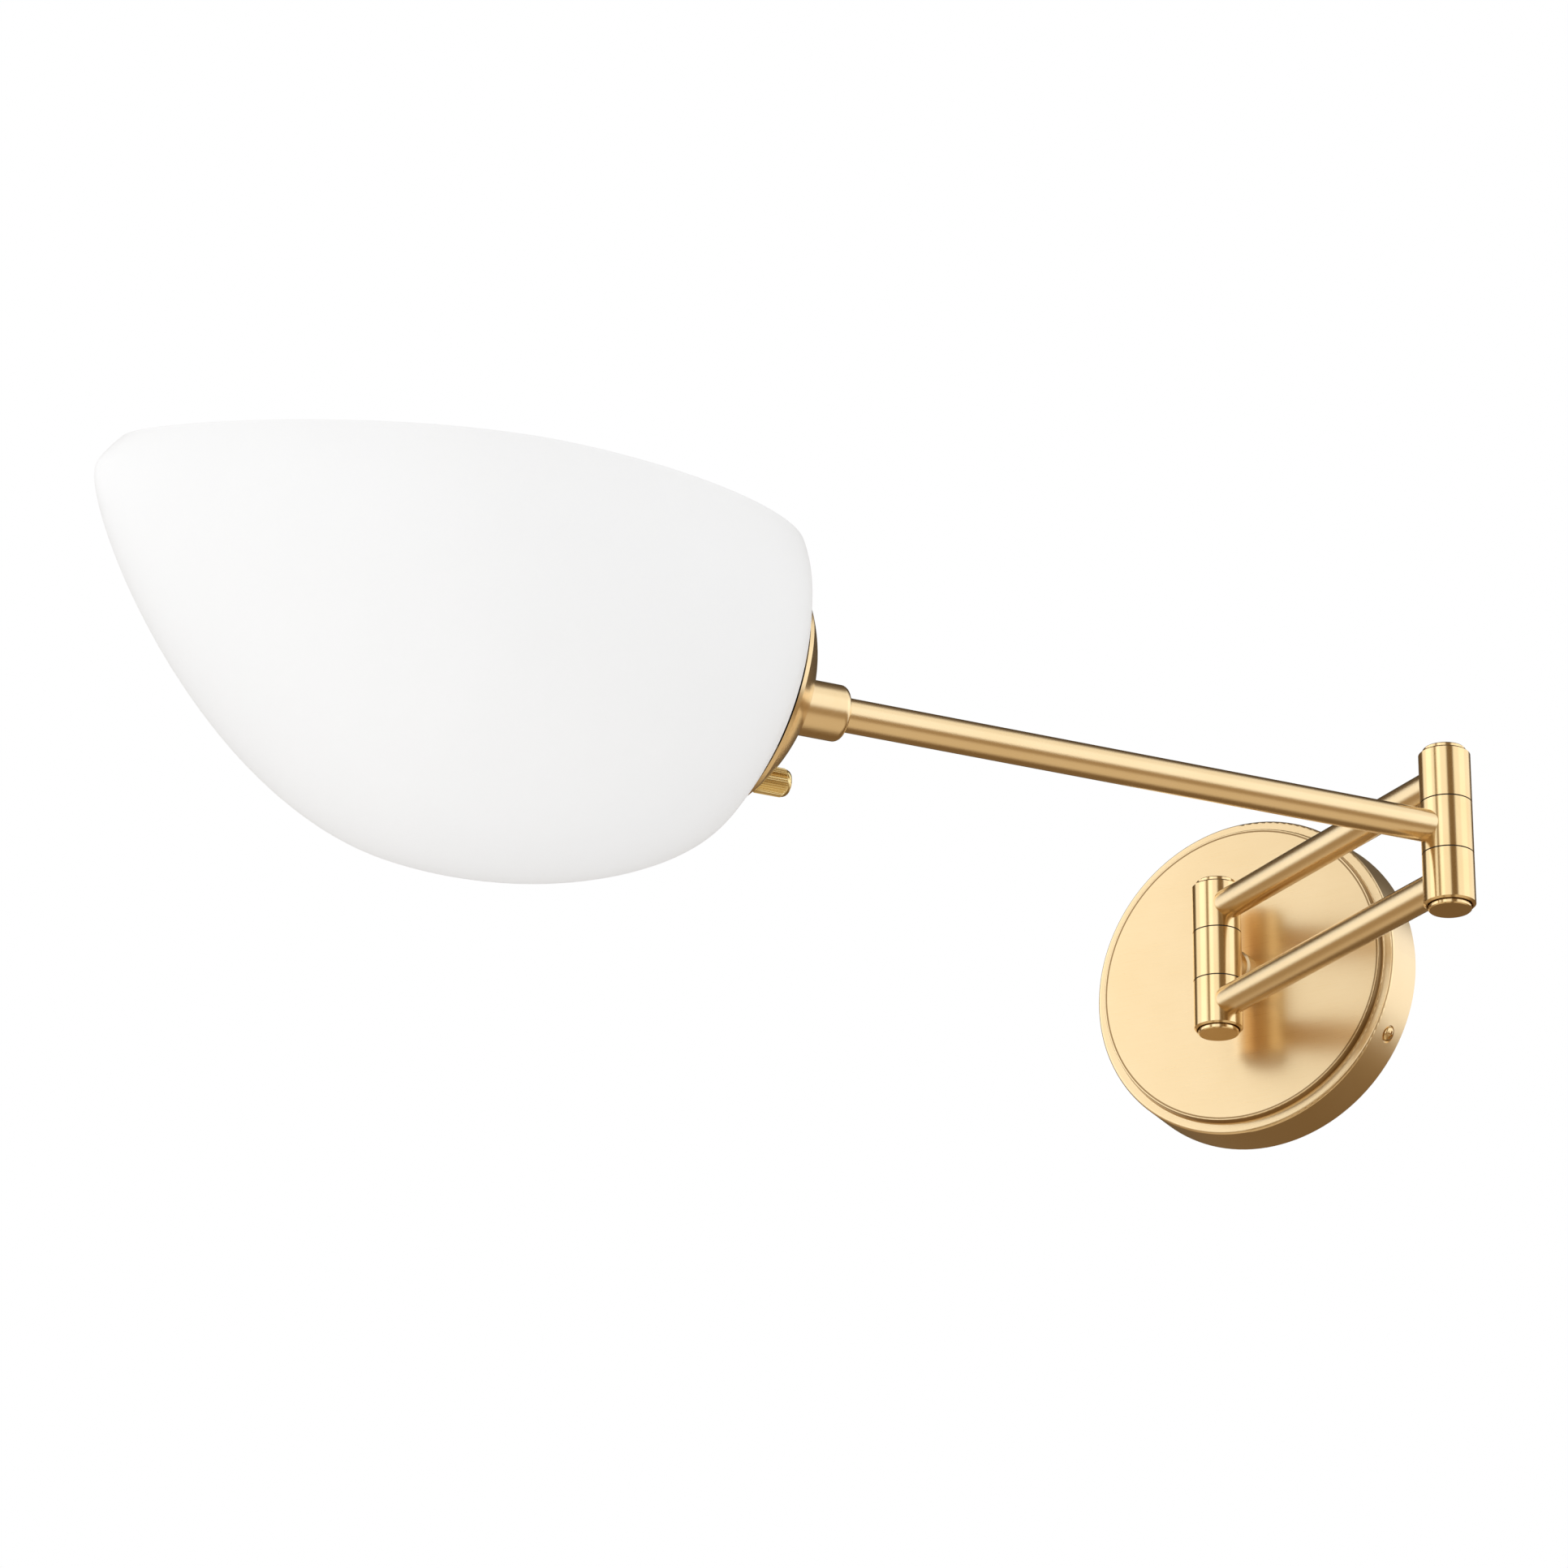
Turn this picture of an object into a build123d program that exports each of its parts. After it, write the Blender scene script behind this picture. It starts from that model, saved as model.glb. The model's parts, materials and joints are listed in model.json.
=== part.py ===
"""Swing arm wall sconce, in millimetres.

Frame: the origin is the centre of the canopy on the wall plane. X runs right along the wall, Y runs into the
wall, so the light stands out towards -Y, and Z is up. The arms are built at the angles of the rest pose.
"""
from math import asin, cos, degrees, hypot, radians, sin, sqrt
import os

from build123d import *

# Clearances
running_gap = 0.05
seat_gap = 0.05
loose_gap = 0.3

# Canopy on the wall
canopy_radius = 60.0
canopy_depth = 16.8
canopy_draft = 0.8
canopy_edge_round = 1.0
canopy_wall = 1.5
step_ring = 5.0
step_draft = 0.7
step_height = 2.9
step_edge_round = 0.4

# Mounting plate and its screws
plate_edge_gap = 3.0
plate_thickness = 2.0
plate_wire_hole_radius = 11.0
plate_window_width = 52.0
plate_window_height = 24.0
plate_window_rise = 28.0
plate_window_corner = 4.0
slot_spacing = 79.4
slot_length = 14.6
slot_width = 4.8
ear_width = 14.0
ear_gap = 0.5
side_screw_angle = -29.0
side_screw_height = 8.0
side_screw_radius = 1.6
side_screw_length = 7.0
side_screw_head_radius = 2.7
side_screw_head_height = 1.5
dimple_radius = 3.3
dimple_depth = 0.5
ground_screw_drop = 26.0
ground_screw_radius = 2.0
ground_screw_head_radius = 4.0
ground_screw_head_height = 3.0

# Stem between the canopy and the first column
stem_boss_radius = 7.0
stem_boss_length = 6.0
stem_boss_edge = 0.8
stem_neck_radius = 5.0
stem_tail_radius = 5.0
stem_tail_length = 8.0
stem_bore_radius = 3.0
stem_nut_width = 16.0
stem_nut_height = 4.0
stem_washer_radius = 10.0
stem_washer_thickness = 1.0

# Pivot columns
column_reach = 36.9
barrel_radius = 8.66
barrel_height = 17.9
barrel_end_chamfer = 0.6
seam_height = 0.4
washer_radius = 8.3
pin_radius = 4.0
pin_bore_radius = 2.6
plug_radius = 7.2
plug_gap = 0.45
plug_recess_depth = 3.2
plug_stand = 1.6
plug_edge = 0.35
plug_boss_length = 5.0
wire_hole_radius = 2.3

# Arms
tube_radius = 5.55
tube_wall = 0.9
inner_arm_length = 137.9
inner_arm_angle = -29.3
outer_arm_angle = 234.8
cable_radius = 2.1

# Shade: an egg of revolution with a spherical back, its axis leaned up from the arm, sliced parallel to the arm
shade_distance = 240.8
shade_lean = 8.3
shade_roll = -10.2
shade_length = 226.8
shade_radius = 85.4
shade_back_radius = 106.6
shade_back_edge = 47.7
shade_back_handle = 17.0
shade_belly = 103.2
shade_belly_handle = 46.3
shade_shoulder = 61.8
shade_nose_height = 13.0
shade_wall = 1.2
mouth_height = 43.2

# Cap, collar and shade fastening
cap_radius = 33.5
cap_dome_radius = 55.5
cap_wall = 1.0
cap_gap = 0.5
collar_radius = 9.1
collar_length = 22.1
collar_end_round = 2.4
spigot_radius = 7.7
spigot_root = 0.6
spigot_reach = 7.5
spacer_radius = 13.0
clamp_washer_radius = 13.0
clamp_washer_thickness = 1.0
ring_nut_radius = 12.5
ring_nut_height = 3.0

# Swivel on the end of the outer tube
nipple_radius = 4.6
nipple_bore_radius = 3.1
nipple_overlap = 20.0
nipple_reach = 12.0
swivel_washer_radius = 7.0
swivel_washer_thickness = 1.0
swivel_nut_width = 14.0
swivel_nut_height = 4.0

# Lampholder and bulb
cup_length = 13.0
holder_radius = 18.0
holder_mouth_length = 34.0
holder_wall = 2.4
holder_floor = 4.0
shell_radius = 13.9
shell_wall = 0.4
contact_radius = 4.0
contact_height = 2.5
bulb_cap_radius = 13.0
bulb_cap_length = 24.0
bulb_tip_radius = 5.0
bulb_neck_radius = 14.0
bulb_radius = 30.0
bulb_length = 106.0

# Switch on the cap
knob_offset = 28.6
knob_angle = 45.0
knob_radius = 4.7
knob_length = 11.6
knob_end_round = 1.6
knob_recess_radius = 4.05
knob_recess_depth = 4.2
knob_shaft_radius = 1.5
knob_shaft_length = 12.0
pad_radius = 3.9
pad_stand = 2.6
bushing_radius = 3.0
bushing_stand = 3.2
switch_nut_radius = 3.8
switch_nut_height = 2.0
switch_radius = 7.5
switch_depth = 12.0

os.makedirs("parts", exist_ok=True)
nodes = []


def keep(builder, label):
    """Label a finished piece, write it as its own file and remember it."""
    builder.part.label = label
    export_step(builder.part, f"parts/{label}.step")
    nodes.append(builder.part)


# Places that the rest follows
step_front = canopy_depth + step_height
step_radius = canopy_radius - step_ring
plate_radius = canopy_radius - canopy_draft - canopy_wall - plate_edge_gap
wall_column = Vector(0, -column_reach, 0)
inner_direction = Vector(cos(radians(inner_arm_angle)), sin(radians(inner_arm_angle)), 0)
elbow_column = wall_column + inner_direction * inner_arm_length
outer_direction = Vector(cos(radians(outer_arm_angle)), sin(radians(outer_arm_angle)), 0)
middle_top = barrel_height / 2
end_bottom = middle_top + seam_height + seat_gap
end_top = end_bottom + barrel_height
tube_height = (end_bottom + end_top) / 2
pin_top = end_top - plug_recess_depth
tube_bore_radius = tube_radius - tube_wall

# Directions of the shade, leaned from the arm and rolled about it
side_direction = Vector(0, 0, 1).cross(outer_direction)
shade_up = Vector(0, 0, 1) * cos(radians(shade_roll)) - side_direction * sin(radians(shade_roll))
shade_side = shade_up.cross(outer_direction)
egg_axis = outer_direction * cos(radians(shade_lean)) + shade_up * sin(radians(shade_lean))
egg_up = shade_up * cos(radians(shade_lean)) - outer_direction * sin(radians(shade_lean))
pole = elbow_column + outer_direction * shade_distance
egg_plane = Plane(origin=pole, x_dir=egg_axis, z_dir=egg_axis.cross(egg_up))
egg_line = Axis(pole, egg_axis)


def arm_plane(distance):
    """Plane square to the outer arm, at a distance from the elbow, with its X axis along the shade's up."""
    return Plane(origin=elbow_column + outer_direction * distance, x_dir=shade_up, z_dir=outer_direction)


def egg_square_plane(depth):
    """Plane square to the egg's axis, at a depth from its pole, with its X axis along the egg's up."""
    return Plane(origin=pole + egg_axis * depth, x_dir=egg_up, z_dir=egg_axis)


def side_plane(angle):
    """Plane on the canopy's axis at the side screws' height, with Z pointing out of the side wall."""
    out = Vector(cos(radians(angle)), 0, sin(radians(angle)))
    return Plane(origin=(0, -side_screw_height, 0), x_dir=(0, -1, 0), z_dir=out)


side_screw_angles = (side_screw_angle, side_screw_angle + 180)
side_wall_radius = canopy_radius - canopy_draft * side_screw_height / canopy_depth

# Canopy: a spun cup with a raised centre disc, open to the wall
with BuildPart() as canopy:
    with BuildSketch(Plane.XY):
        with BuildLine():
            outer = FilletPolyline(
                (canopy_radius, 0),
                (canopy_radius - canopy_draft, -canopy_depth),
                (step_radius + step_draft, -canopy_depth),
                (step_radius, -step_front),
                (stem_tail_radius + seat_gap, -step_front),
                radius=[canopy_edge_round, step_edge_round, step_edge_round],
            )
            inner = Polyline(
                (stem_tail_radius + seat_gap, -step_front),
                (stem_tail_radius + seat_gap, -step_front + canopy_wall),
                (step_radius - canopy_wall, -step_front + canopy_wall),
                (step_radius - canopy_wall, -canopy_depth + canopy_wall),
                (canopy_radius - canopy_draft - canopy_wall, -canopy_depth + canopy_wall),
                (canopy_radius - canopy_wall, 0),
                (canopy_radius, 0),
            )
        make_face()
    revolve(axis=Axis.Y)
    for angle in side_screw_angles:
        with BuildSketch(side_plane(angle)):
            Circle(side_screw_radius + loose_gap)
        extrude(amount=canopy_radius + canopy_wall, mode=Mode.SUBTRACT)
        with BuildSketch(side_plane(angle).offset(side_wall_radius - dimple_depth)):
            Circle(dimple_radius)
        extrude(amount=canopy_wall, mode=Mode.SUBTRACT)
keep(canopy, "canopy")

# Side screws: pan heads sunk in the dimples, tapped into the ears of the mounting plate
head_seat = side_wall_radius - dimple_depth
with BuildPart() as canopy_screws:
    for angle in side_screw_angles:
        with BuildSketch(side_plane(angle).offset(head_seat - side_screw_length)):
            Circle(side_screw_radius)
        extrude(amount=side_screw_length)
        with BuildSketch(side_plane(angle).offset(head_seat)):
            Circle(side_screw_head_radius)
        extrude(amount=side_screw_head_height)
    head_edges = canopy_screws.edges().filter_by(GeomType.CIRCLE)
    rims = [e for e in head_edges if abs(e.radius - side_screw_head_radius) < 0.01]
    tops = sorted(rims, key=lambda e: -Vector(e.arc_center.X, 0, e.arc_center.Z).length)[:2]
    fillet(tops, side_screw_head_height * 0.6)
keep(canopy_screws, "canopy_screws")

# Mounting plate: a flat disc on the wall box with slots for its screws, a window for the wires and two ears
# bent forward for the side screws
ear_outer = canopy_radius - canopy_draft - canopy_wall - ear_gap
ear_height = side_screw_height + ear_width / 2
with BuildPart() as mounting_plate:
    with BuildSketch(Plane.XZ):
        Circle(plate_radius)
        Circle(plate_wire_hole_radius, mode=Mode.SUBTRACT)
        with Locations((-slot_spacing / 2, 0), (slot_spacing / 2, 0)):
            SlotOverall(slot_length, slot_width, mode=Mode.SUBTRACT)
        with Locations((0, plate_window_rise)):
            RectangleRounded(
                plate_window_width, plate_window_height, plate_window_corner, mode=Mode.SUBTRACT
            )
        with Locations((0, -ground_screw_drop)):
            Circle(ground_screw_radius + seat_gap, mode=Mode.SUBTRACT)
    extrude(amount=plate_thickness)
    for angle in side_screw_angles:
        with BuildSketch(side_plane(angle).offset(plate_radius - ear_width / 2)):
            with Locations((-side_screw_height + plate_thickness / 2, 0)):
                Rectangle(plate_thickness, ear_width)
        extrude(amount=ear_outer - plate_radius + ear_width / 2)
        with BuildSketch(side_plane(angle).offset(ear_outer - plate_thickness)):
            with Locations((ear_height / 2 - side_screw_height, 0)):
                Rectangle(ear_height, ear_width)
            Circle(side_screw_radius + seat_gap, mode=Mode.SUBTRACT)
        extrude(amount=plate_thickness)
keep(mounting_plate, "mounting_plate")

# Earth screw on the mounting plate
with BuildPart() as ground_screw:
    with BuildSketch(Plane.XZ.offset(plate_thickness)):
        with Locations((0, -ground_screw_drop)):
            RegularPolygon(ground_screw_head_radius, 6)
    extrude(amount=ground_screw_head_height)
    with BuildSketch(Plane.XZ.offset(plate_thickness)):
        with Locations((0, -ground_screw_drop)):
            Circle(ground_screw_radius)
    extrude(amount=-plate_thickness)
keep(ground_screw, "ground_screw")

# Stem: a turned boss on the canopy's face, a neck coped to the middle barrel and a tail through the canopy
with BuildPart() as stem:
    with BuildSketch(Plane.XZ.offset(step_front)):
        Circle(stem_boss_radius)
    extrude(amount=stem_boss_length)
    chamfer(stem.edges().group_by(Axis.Y)[0], stem_boss_edge)
    with BuildSketch(Plane.XZ.offset(step_front)):
        Circle(stem_neck_radius)
    extrude(amount=column_reach - step_front)
    with BuildSketch(Plane.XZ.offset(step_front)):
        Circle(stem_tail_radius)
    extrude(amount=-stem_tail_length)
    with BuildSketch(Plane.XZ.offset(column_reach)):
        Circle(stem_bore_radius)
    extrude(amount=-column_reach, mode=Mode.SUBTRACT)
    with BuildSketch(Plane(wall_column)):
        Circle(barrel_radius)
    extrude(amount=barrel_height, both=True, mode=Mode.SUBTRACT)
keep(stem, "stem")

# Washer and nut that hold the stem inside the canopy
stem_seat = step_front - canopy_wall
with BuildPart() as stem_washer:
    with BuildSketch(Plane.XZ.offset(stem_seat)):
        Circle(stem_washer_radius)
        Circle(stem_tail_radius + seat_gap, mode=Mode.SUBTRACT)
    extrude(amount=-stem_washer_thickness)
keep(stem_washer, "stem_washer")

with BuildPart() as stem_nut:
    with BuildSketch(Plane.XZ.offset(stem_seat - stem_washer_thickness)):
        RegularPolygon(stem_nut_width / 2, 6, major_radius=False)
        Circle(stem_tail_radius + seat_gap, mode=Mode.SUBTRACT)
    extrude(amount=-stem_nut_height)
keep(stem_nut, "stem_nut")


def make_middle_barrel(column, bore_radius, outlet, label):
    """Middle barrel of a column, with a wire hole towards the piece that it carries."""
    with BuildPart() as barrel:
        with BuildSketch(Plane(column)):
            Circle(barrel_radius)
            Circle(bore_radius, mode=Mode.SUBTRACT)
        extrude(amount=middle_top, both=True)
        with BuildSketch(Plane(origin=column, z_dir=outlet)):
            Circle(wire_hole_radius)
        extrude(amount=2 * barrel_radius, mode=Mode.SUBTRACT)
    keep(barrel, label)


def make_end_barrel(column, side, bore_radius, outlet, label):
    """Upper (side 1) or lower (side -1) barrel: recessed at its free end for the plug."""
    start = Plane(origin=column + Vector(0, 0, side * end_bottom), z_dir=(0, 0, side))
    with BuildPart() as barrel:
        with BuildSketch(start):
            Circle(barrel_radius)
        extrude(amount=barrel_height)
        free_end = barrel.faces().sort_by(Axis.Z)[-1 if side > 0 else 0]
        chamfer(free_end.edges(), barrel_end_chamfer)
        with BuildSketch(start.offset(barrel_height - plug_recess_depth)):
            Circle(plug_radius + plug_gap)
        extrude(amount=plug_recess_depth, mode=Mode.SUBTRACT)
        with BuildSketch(start):
            Circle(bore_radius)
        extrude(amount=barrel_height, mode=Mode.SUBTRACT)
        with BuildSketch(Plane(origin=column + Vector(0, 0, side * tube_height), z_dir=outlet)):
            Circle(wire_hole_radius)
        extrude(amount=2 * barrel_radius, mode=Mode.SUBTRACT)
    keep(barrel, label)


def make_washer(column, side, label):
    """Friction washer in a seam, seated on the middle barrel."""
    start = Plane(origin=column + Vector(0, 0, side * middle_top), z_dir=(0, 0, side))
    with BuildPart() as washer:
        with BuildSketch(start):
            Circle(washer_radius)
            Circle(pin_radius + running_gap, mode=Mode.SUBTRACT)
        extrude(amount=seam_height)
    keep(washer, label)


def make_pin(column, outlet, label):
    """Hollow pivot pin with cross holes where the lead leaves it."""
    with BuildPart() as pin:
        with BuildSketch(Plane(column)):
            Circle(pin_radius)
            Circle(pin_bore_radius, mode=Mode.SUBTRACT)
        extrude(amount=pin_top, both=True)
        for height, direction in ((0, outlet[0]), (-tube_height, outlet[1])):
            with BuildSketch(Plane(origin=column + Vector(0, 0, height), z_dir=direction)):
                Circle(wire_hole_radius)
            extrude(amount=2 * pin_radius, mode=Mode.SUBTRACT)
    keep(pin, label)


def make_plug(column, side, label):
    """End plug: a disc that stands proud of the barrel, with a boss in the pin's bore."""
    start = Plane(origin=column + Vector(0, 0, side * pin_top), z_dir=(0, 0, side))
    with BuildPart() as plug:
        with BuildSketch(start):
            Circle(plug_radius)
        extrude(amount=plug_recess_depth + plug_stand)
        free_end = plug.faces().sort_by(Axis.Z)[-1 if side > 0 else 0]
        chamfer(free_end.edges(), plug_edge)
        with BuildSketch(start):
            Circle(plug_radius)
            Circle(pin_radius + running_gap, mode=Mode.SUBTRACT)
        extrude(amount=loose_gap, mode=Mode.SUBTRACT)
        with BuildSketch(start):
            Circle(pin_bore_radius - seat_gap)
        extrude(amount=-plug_boss_length)
    keep(plug, label)


to_wall = Vector(0, 1, 0)
loose_bore = pin_radius + running_gap
fixed_bore = pin_radius

# First column: the pin is fixed in the middle barrel, and the end barrels turn on it
make_middle_barrel(wall_column, fixed_bore, to_wall, "wall_barrel_middle")
make_pin(wall_column, (to_wall, inner_direction), "wall_pivot_pin")
for side, word, end in ((1, "upper", "top"), (-1, "lower", "bottom")):
    make_end_barrel(wall_column, side, loose_bore, inner_direction, f"wall_barrel_{word}")
    make_washer(wall_column, side, f"wall_washer_{word}")
    make_plug(wall_column, side, f"wall_plug_{end}")

# Elbow column: the pin is fixed in the end barrels, and the middle barrel turns on it
make_middle_barrel(elbow_column, loose_bore, outer_direction, "elbow_barrel_middle")
make_pin(elbow_column, (outer_direction, -inner_direction), "elbow_pivot_pin")
for side, word, end in ((1, "upper", "top"), (-1, "lower", "bottom")):
    make_end_barrel(elbow_column, side, fixed_bore, -inner_direction, f"elbow_barrel_{word}")
    make_washer(elbow_column, side, f"elbow_washer_{word}")
    make_plug(elbow_column, side, f"elbow_plug_{end}")


def make_inner_tube(side, label):
    """One of the twin tubes, coped over a barrel at each end."""
    level = Vector(0, 0, side * tube_height)
    with BuildPart() as tube:
        with BuildSketch(Plane(origin=wall_column + level, z_dir=inner_direction)):
            Circle(tube_radius)
            Circle(tube_bore_radius, mode=Mode.SUBTRACT)
        extrude(amount=inner_arm_length)
        for column in (wall_column, elbow_column):
            with BuildSketch(Plane(column + level)):
                Circle(barrel_radius)
            extrude(amount=barrel_height, both=True, mode=Mode.SUBTRACT)
    keep(tube, label)


make_inner_tube(1, "inner_tube_upper")
make_inner_tube(-1, "inner_tube_lower")

# Lead inside the lower inner tube, lying on the tube's floor between the barrels
cable_drop = tube_bore_radius - cable_radius - seat_gap
cable_start = wall_column + Vector(0, 0, -tube_height - cable_drop) + inner_direction * (barrel_radius + loose_gap)
with BuildPart() as inner_cable:
    with BuildSketch(Plane(origin=cable_start, z_dir=inner_direction)):
        Circle(cable_radius)
    extrude(amount=inner_arm_length - 2 * (barrel_radius + loose_gap))
keep(inner_cable, "inner_cable")

# Outer tube: coped to the elbow's middle barrel, its plain end turns inside the collar
tube_end = shade_distance + spigot_reach - seat_gap
with BuildPart() as outer_tube:
    with BuildSketch(arm_plane(0)):
        Circle(tube_radius)
        Circle(tube_bore_radius, mode=Mode.SUBTRACT)
    extrude(amount=tube_end)
    with BuildSketch(Plane(elbow_column)):
        Circle(barrel_radius)
    extrude(amount=barrel_height, both=True, mode=Mode.SUBTRACT)
keep(outer_tube, "outer_tube")

# Nipple: a hollow threaded tube in the arm's end, with a washer and nut that keep the collar on
with BuildPart() as arm_nipple:
    with BuildSketch(arm_plane(tube_end - nipple_overlap)):
        Circle(nipple_radius)
        Circle(nipple_bore_radius, mode=Mode.SUBTRACT)
    extrude(amount=nipple_overlap + nipple_reach)
keep(arm_nipple, "arm_nipple")

with BuildPart() as swivel_washer:
    with BuildSketch(arm_plane(tube_end + seat_gap)):
        Circle(swivel_washer_radius)
        Circle(nipple_radius + seat_gap, mode=Mode.SUBTRACT)
    extrude(amount=swivel_washer_thickness)
keep(swivel_washer, "swivel_washer")

swivel_nut_seat = tube_end + seat_gap + swivel_washer_thickness
with BuildPart() as swivel_nut:
    with BuildSketch(arm_plane(swivel_nut_seat)):
        RegularPolygon(swivel_nut_width / 2, 6, major_radius=False)
        Circle(nipple_radius, mode=Mode.SUBTRACT)
    extrude(amount=swivel_nut_height)
keep(swivel_nut, "swivel_nut")

# Lampholder: a tapered cup on the nipple, a body with a screw shell, and a centre contact
cup_start = swivel_nut_seat + swivel_nut_height + loose_gap
cup_neck_radius = nipple_radius + holder_wall
with BuildPart() as lampholder_cup:
    with BuildSketch(arm_plane(cup_start)):
        Circle(cup_neck_radius + holder_wall)
    with BuildSketch(arm_plane(cup_start + cup_length)):
        Circle(holder_radius)
    loft()
    with BuildSketch(arm_plane(cup_start + holder_wall)):
        Circle(cup_neck_radius)
    with BuildSketch(arm_plane(cup_start + cup_length)):
        Circle(holder_radius - holder_wall)
    loft(mode=Mode.SUBTRACT)
    with BuildSketch(arm_plane(cup_start)):
        Circle(nipple_radius)
    extrude(amount=holder_wall, mode=Mode.SUBTRACT)
keep(lampholder_cup, "lampholder_cup")

body_start = cup_start + cup_length
with BuildPart() as lampholder_body:
    with BuildSketch(arm_plane(body_start)):
        Circle(holder_radius)
    extrude(amount=holder_mouth_length)
    with BuildSketch(arm_plane(body_start + holder_floor)):
        Circle(shell_radius + shell_wall)
    extrude(amount=holder_mouth_length, mode=Mode.SUBTRACT)
    with BuildSketch(arm_plane(body_start)):
        Circle(wire_hole_radius)
    extrude(amount=holder_floor, mode=Mode.SUBTRACT)
    mouth_edges = lampholder_body.edges().filter_by(GeomType.CIRCLE)
    fillet([e for e in mouth_edges if e.radius > holder_radius - running_gap
            and (e.arc_center - elbow_column).dot(outer_direction) > body_start + holder_floor], holder_wall / 2)
keep(lampholder_body, "lampholder_body")

shell_start = body_start + holder_floor
shell_length = holder_mouth_length - 2 * holder_floor
with BuildPart() as lampholder_shell:
    with BuildSketch(arm_plane(shell_start)):
        Circle(shell_radius + shell_wall)
        Circle(shell_radius, mode=Mode.SUBTRACT)
    extrude(amount=shell_length)
keep(lampholder_shell, "lampholder_shell")

with BuildPart() as lampholder_contact:
    with BuildSketch(arm_plane(shell_start)):
        Circle(contact_radius)
    extrude(amount=contact_height)
keep(lampholder_contact, "lampholder_contact")

# Lead inside the outer tube, from the elbow through the nipple to the lampholder
outer_cable_drop = nipple_bore_radius - cable_radius - seat_gap
with BuildPart() as outer_cable:
    with BuildSketch(arm_plane(barrel_radius + loose_gap)):
        with Locations((-outer_cable_drop * cos(radians(shade_roll)), outer_cable_drop * sin(radians(shade_roll)))):
            Circle(cable_radius)
    extrude(amount=cup_start + holder_wall - barrel_radius)
keep(outer_cable, "outer_cable")

# Bulb: a screw cap seated on the contact and a pear-shaped globe
bulb_start = shell_start + contact_height
with BuildPart() as bulb_cap:
    with BuildSketch(arm_plane(bulb_start)):
        Circle(bulb_tip_radius)
    with BuildSketch(arm_plane(bulb_start + bulb_tip_radius)):
        Circle(bulb_cap_radius)
    loft()
    with BuildSketch(arm_plane(bulb_start + bulb_tip_radius)):
        Circle(bulb_cap_radius)
    extrude(amount=bulb_cap_length - bulb_tip_radius)
keep(bulb_cap, "bulb_cap")

globe_start = bulb_start + bulb_cap_length
globe_end = bulb_start + bulb_length
globe_middle = globe_end - bulb_radius
globe_plane = Plane(origin=elbow_column, x_dir=outer_direction, z_dir=outer_direction.cross(shade_up))
with BuildPart() as bulb_globe:
    with BuildSketch(globe_plane):
        with BuildLine():
            Line((globe_start, 0), (globe_start, bulb_neck_radius))
            Bezier(
                (globe_start, bulb_neck_radius),
                ((globe_start + globe_middle) / 2, bulb_neck_radius),
                ((globe_start + globe_middle) / 2, bulb_radius),
                (globe_middle, bulb_radius),
            )
            RadiusArc((globe_middle, bulb_radius), (globe_end, 0), bulb_radius)
            Line((globe_end, 0), (globe_start, 0))
        make_face()
    revolve(axis=Axis(elbow_column, outer_direction))
keep(bulb_globe, "bulb_globe")


back_turn = asin(shade_back_edge / shade_back_radius)


def egg_profile(inset):
    """Half outline of the egg in its own plane, moved in from the outer surface by an inset."""
    back = shade_back_radius - inset
    edge = Vector(shade_back_radius - back * cos(back_turn), back * sin(back_turn))
    rise = Vector(sin(back_turn), cos(back_turn)) * shade_back_handle
    radius = shade_radius - inset
    tip = shade_length - inset
    CenterArc((shade_back_radius, 0), back, 180 - degrees(back_turn), degrees(back_turn))
    Bezier(edge, edge + rise, (shade_belly - shade_belly_handle, radius), (shade_belly, radius))
    Bezier(
        (shade_belly, radius),
        (shade_belly + shade_shoulder, radius),
        (tip, shade_nose_height),
        (tip, 0),
    )
    Line((tip, 0), (inset, 0))


def egg_face(inset):
    """Half egg as a face, ready to revolve about the egg's axis."""
    with BuildSketch(egg_plane) as face:
        with BuildLine():
            egg_profile(inset)
        make_face()
    return face.sketch


def shade_outside(radius):
    """Depth from the pole at which the shade's back, outside, reaches a radius."""
    return shade_back_radius - sqrt(shade_back_radius**2 - radius**2)


def shade_inside(radius):
    """Depth from the pole at which the shade's back, inside, reaches a radius."""
    return shade_back_radius - sqrt((shade_back_radius - shade_wall) ** 2 - radius**2)


# The cap's dome stands off the shade, and its rim stops short of it by the cap's gap
dome_depth = shade_outside(cap_radius) - cap_gap + sqrt((cap_dome_radius - cap_wall) ** 2 - cap_radius**2)
dome_centre = pole + egg_axis * dome_depth
dome_stand = cap_dome_radius - dome_depth


def dome_outside(radius):
    """Depth from the pole at which the cap's outer surface reaches a radius."""
    return dome_depth - sqrt(cap_dome_radius**2 - radius**2)


def arm_depth(up, across_arm, surface):
    """Distance from the pole, along the arm, at which a surface lies at a place square to the arm."""
    depth = 0.0
    for _ in range(30):
        egg_height = up * cos(radians(shade_lean)) - depth * sin(radians(shade_lean))
        run = surface(hypot(egg_height, across_arm)) - up * sin(radians(shade_lean))
        depth = run / cos(radians(shade_lean))
    return depth


def rim_depths(radius, surface):
    """Depths of a surface under points of a circle about the knob's axis."""
    turns = [radians(angle) for angle in range(0, 360, 10)]
    return [arm_depth(knob_place[0] + radius * cos(t), knob_place[1] + radius * sin(t), surface) for t in turns]


# Places of the knob and switch, square to the arm
knob_place = (-knob_offset * cos(radians(knob_angle)), knob_offset * sin(radians(knob_angle)))
pad_face = shade_distance + min(rim_depths(pad_radius, dome_outside)) - pad_stand
switch_face = shade_distance + max(rim_depths(switch_radius, shade_inside)) + seat_gap
bushing_end = pad_face - bushing_stand
bushing_hole_radius = bushing_radius + loose_gap

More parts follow.
